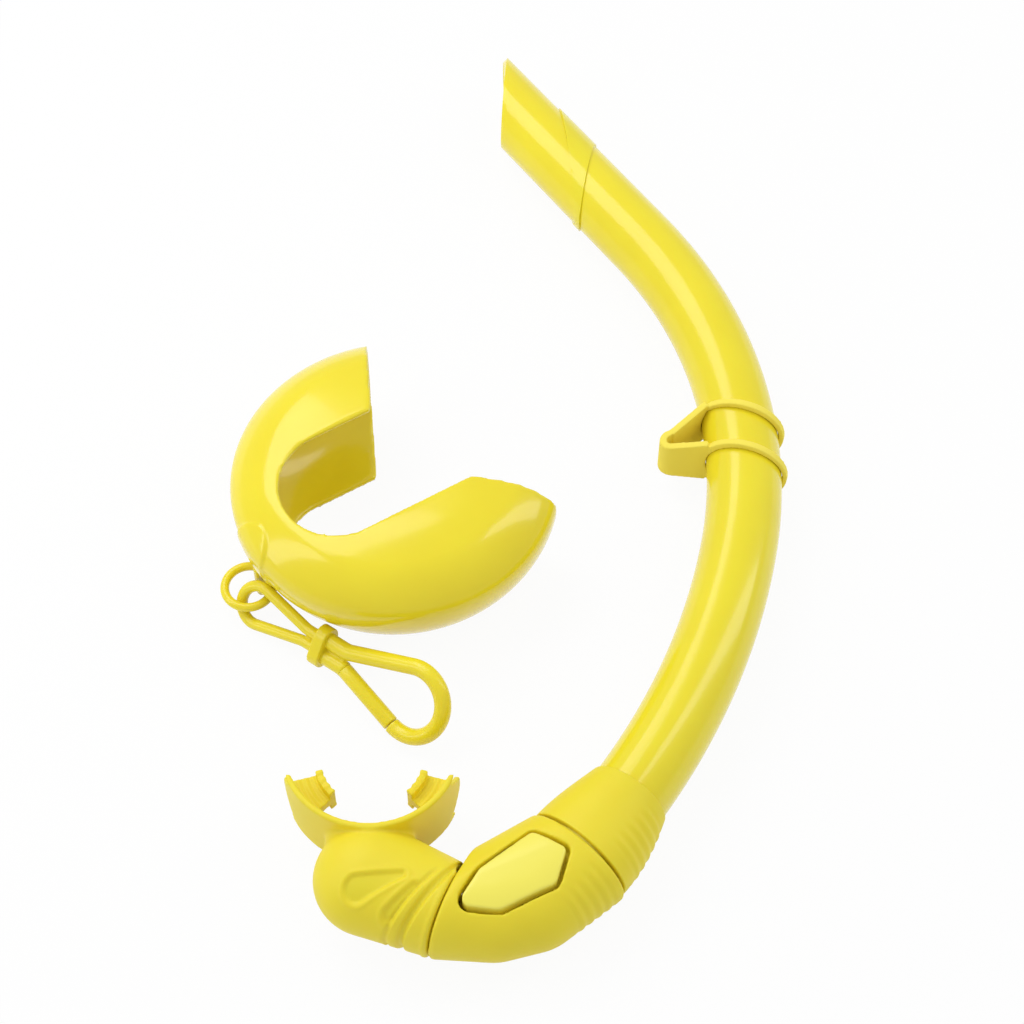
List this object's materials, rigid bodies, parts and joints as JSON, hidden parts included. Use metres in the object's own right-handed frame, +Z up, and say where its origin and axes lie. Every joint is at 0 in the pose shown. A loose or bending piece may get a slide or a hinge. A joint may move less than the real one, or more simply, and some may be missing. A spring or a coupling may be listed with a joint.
{
  "type": "snorkel tube",
  "caption": "Foldable silicone snorkel with purge chamber, curved mouthpiece and mask keeper, beside its horseshoe storage case with ring and snap clip.",
  "frame": {"origin": "middle of the laid-out set's outline, on the floor that it lies on", "axes": "+Y towards the open top of the tube, along the length; +Z up from the floor, square to the plane in which the tube bends; +X to the right, towards the mask keeper"},
  "size_m": [0.2068, 0.3947, 0.046],
  "materials": {
    "silicone_gloss": "glossy smooth silicone",
    "silicone_matte": "matt silicone",
    "inner_plastic": "moulded",
    "flap_silicone": "thin soft silicone",
    "cover_gloss": "glossy",
    "keeper_silicone": "satin silicone",
    "case_plastic": "glossy smooth",
    "clip_plastic": "glossy"
  },
  "bodies": {
    "tube": {"tube_top": "silicone_gloss", "tube_bend": "silicone_gloss", "tube_lower": "silicone_gloss", "tip_band": "silicone_gloss", "collar": "silicone_matte", "connector": "inner_plastic", "spigot": "inner_plastic"},
    "chamber": {"chamber": "silicone_matte", "purge_seat": "inner_plastic", "purge_cover": "cover_gloss"},
    "flap": {"purge_flap": "flap_silicone"},
    "mouthpiece": {"elbow": "silicone_matte", "mouth_flange": "silicone_matte", "bite_left": "silicone_matte", "bite_right": "silicone_matte"},
    "keeper": {"keeper": "keeper_silicone"},
    "case": {"case_shell": "case_plastic", "case_tab": "case_plastic", "case_bar": "case_plastic"},
    "ring": {"case_ring": "clip_plastic"},
    "clip": {"clip_frame": "clip_plastic", "clip_collar": "clip_plastic"},
    "gate": {"clip_gate": "clip_plastic"}
  },
  "joints": [
    {"name": "chamber_swivel", "type": "hinge", "parent": "tube", "child": "chamber", "pos_m": [0.0244, -0.16042, 0.0165], "axis": [-0.6561, -0.7547, 0], "range_deg": [-45, 45]},
    {"name": "mouthpiece_turn", "type": "hinge", "parent": "chamber", "child": "mouthpiece", "pos_m": [-0.01909, -0.18044, 0.0165], "axis": [-0.9205, 0.3907, 0], "range_deg": [-25, 25]},
    {"name": "flap_lift", "type": "slide", "parent": "chamber", "child": "flap", "axis": [0, 0, 1], "range_m": [0, 0.0012], "stiffness_N_per_m": 15},
    {"name": "keeper_slide", "type": "hinge", "parent": "tube", "child": "keeper", "pos_m": [-0.09269, -0.00413, 0.0165], "axis": [0, 0, 1], "range_deg": [-9, 29]},
    {"name": "case_lift", "type": "slide", "parent": "tube", "child": "case", "axis": [0, 0, 1], "range_m": [0, 0.06]},
    {"name": "ring_swing", "type": "hinge", "parent": "case", "child": "ring", "pos_m": [-0.08895, -0.04889, 0.008], "axis": [0, 0, 1], "range_deg": [-20, 0]},
    {"name": "clip_swing", "type": "hinge", "parent": "ring", "child": "clip", "pos_m": [-0.09307, -0.05136, 0.008], "axis": [0, 0, 1], "range_deg": [-20, 0]},
    {"name": "gate_open", "type": "hinge", "parent": "clip", "child": "gate", "pos_m": [-0.05688, -0.08624, 0.0086], "axis": [-0.5004, -0.5859, 0.6374], "range_deg": [0, 20], "stiffness_Nm_per_rad": 0.05}
  ]
}
